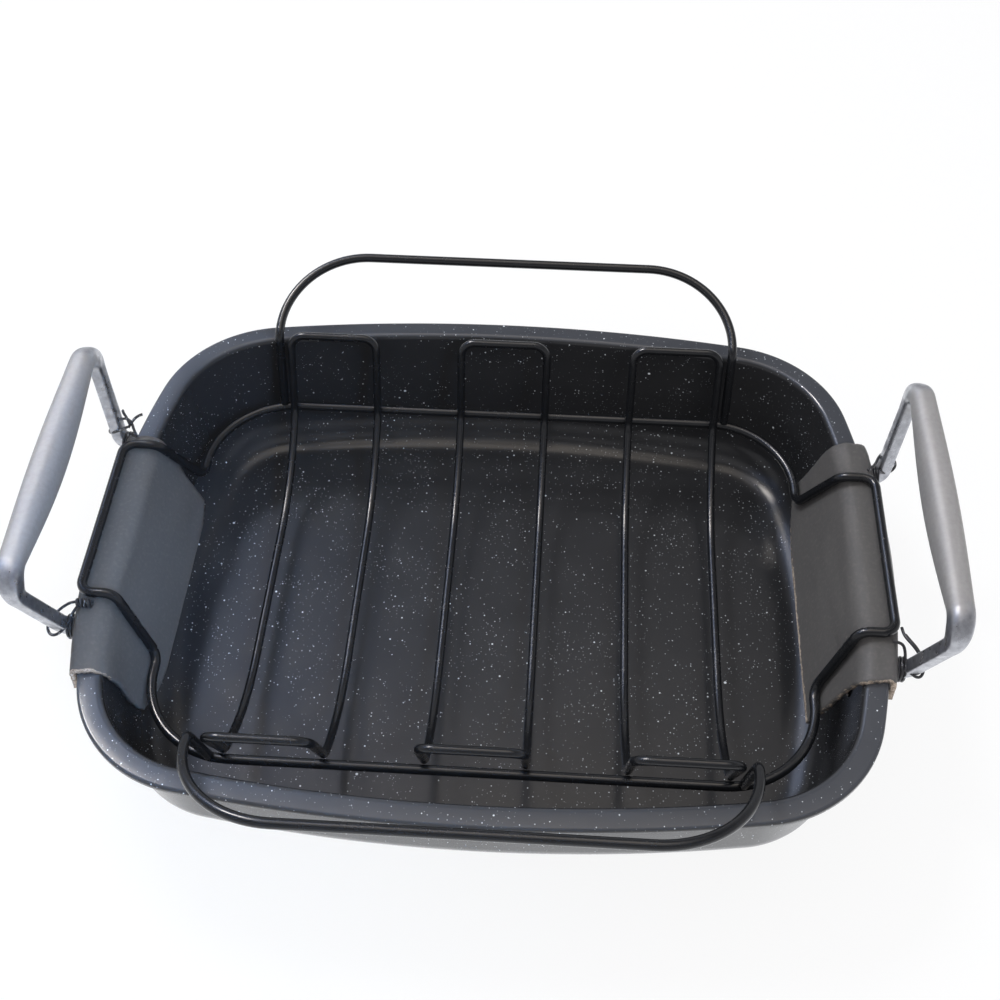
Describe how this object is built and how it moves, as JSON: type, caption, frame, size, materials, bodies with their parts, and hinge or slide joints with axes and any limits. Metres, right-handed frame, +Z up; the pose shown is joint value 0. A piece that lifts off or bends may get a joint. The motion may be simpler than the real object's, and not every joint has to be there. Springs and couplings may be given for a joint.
{
  "type": "roasting pan with rack",
  "caption": "Oval-cornered enamelled roasting pan with upright cast end handles, and a lift-out wire rack that hangs from the end rims.",
  "frame": {"origin": "centre of the pan's underside, on the surface that it stands on", "axes": "+X along the pan towards the right handle, +Y across the pan towards the back, +Z up out of the pan"},
  "size_m": [0.454, 0.3604, 0.1328],
  "materials": {
    "enamel": "gloss black enamel with fine pale speckles",
    "cast_steel": "satin with polished edges",
    "rivet_steel": "polished",
    "rack_coat": "satin black non-stick coat",
    "card": "dull dark grey board with brown torn edges",
    "tie": "dull black coat"
  },
  "bodies": {
    "pan": {"pan_shell": "enamel", "right_handle": "cast_steel", "left_handle": "cast_steel", "right_handle_rivets": "rivet_steel", "left_handle_rivets": "rivet_steel", "right_rim_pad": "card", "left_rim_pad": "card", "tie_back_right": "tie", "tie_front_right": "tie", "tie_back_left": "tie", "tie_front_left": "tie"},
    "rack": {"rack_frame": "rack_coat", "rack_cradle_left": "rack_coat", "rack_cradle_middle": "rack_coat", "rack_cradle_right": "rack_coat", "rack_bail_back": "rack_coat", "rack_bail_front": "rack_coat"}
  },
  "joints": [
    {"name": "rack_lift", "type": "slide", "parent": "pan", "child": "rack", "axis": [0, 0, 1], "range_m": [0, 0.14]}
  ]
}
